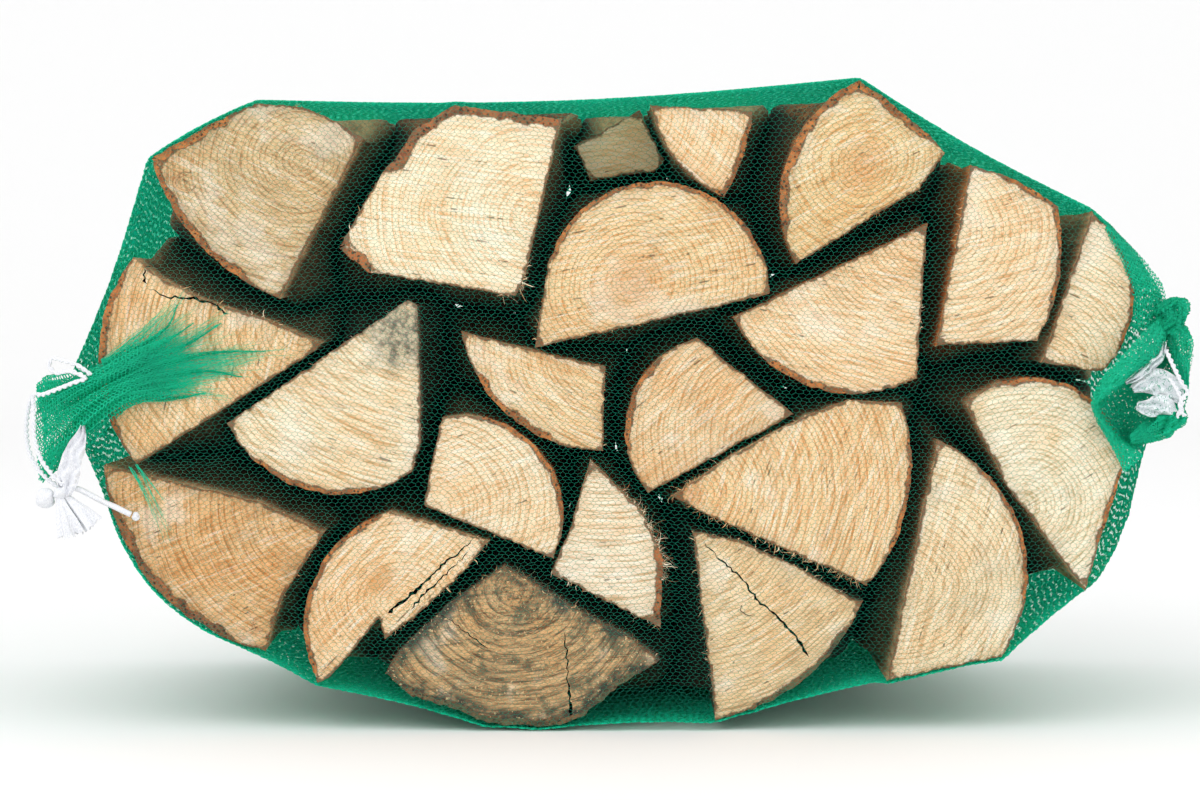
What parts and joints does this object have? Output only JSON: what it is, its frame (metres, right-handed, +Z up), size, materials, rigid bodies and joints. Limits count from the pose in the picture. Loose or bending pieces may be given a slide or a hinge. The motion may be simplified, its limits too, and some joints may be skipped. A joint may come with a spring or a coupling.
{
  "type": "firewood bundle",
  "caption": "Split firewood logs packed side by side in a green knitted net bag, gathered and tied at its ends, lying on its flat underside.",
  "frame": {"origin": "centre of the bag's footprint box, on the surface that it lies on", "axes": "+X from the tied mouth to the sewn bottom end of the bag, +Y along the logs from the shown cut ends to the far ones, +Z up"},
  "size_m": [0.586, 0.2988, 0.3273],
  "materials": {
    "fresh_wood": "pale sawn birch with growth rings and fine saw marks",
    "weathered_wood": "brown, dirty and weathered sawn wood",
    "netting": "green knitted plastic netting",
    "white_string": "white twisted string, tape and hem"
  },
  "bodies": {
    "root": {"split_log_01": "fresh_wood", "split_log_02": "fresh_wood", "split_log_03": "fresh_wood", "split_log_04": "fresh_wood", "split_log_05": "fresh_wood", "split_log_06": "fresh_wood", "split_log_07": "fresh_wood", "split_log_08": "fresh_wood", "split_log_09": "fresh_wood", "split_log_10": "fresh_wood", "split_log_11": "fresh_wood", "split_log_12": "fresh_wood", "split_log_13": "fresh_wood", "split_log_14": "fresh_wood", "split_log_15": "fresh_wood", "split_log_16": "fresh_wood", "split_log_17": "fresh_wood", "split_log_18": "fresh_wood", "split_log_19": "fresh_wood", "split_log_20": "fresh_wood", "split_log_21": "weathered_wood", "split_log_22": "fresh_wood", "net_bag": "netting", "bottom_hem": "white_string", "drawstring_loop": "white_string", "drawstring_tail": "white_string", "drawstring_knot": "white_string", "drawstring_side_knot": "white_string", "drawstring_tail_knot": "white_string", "tie_tape": "white_string", "tape_tuft_left": "white_string", "tape_tuft_right": "white_string"}
  },
  "joints": []
}
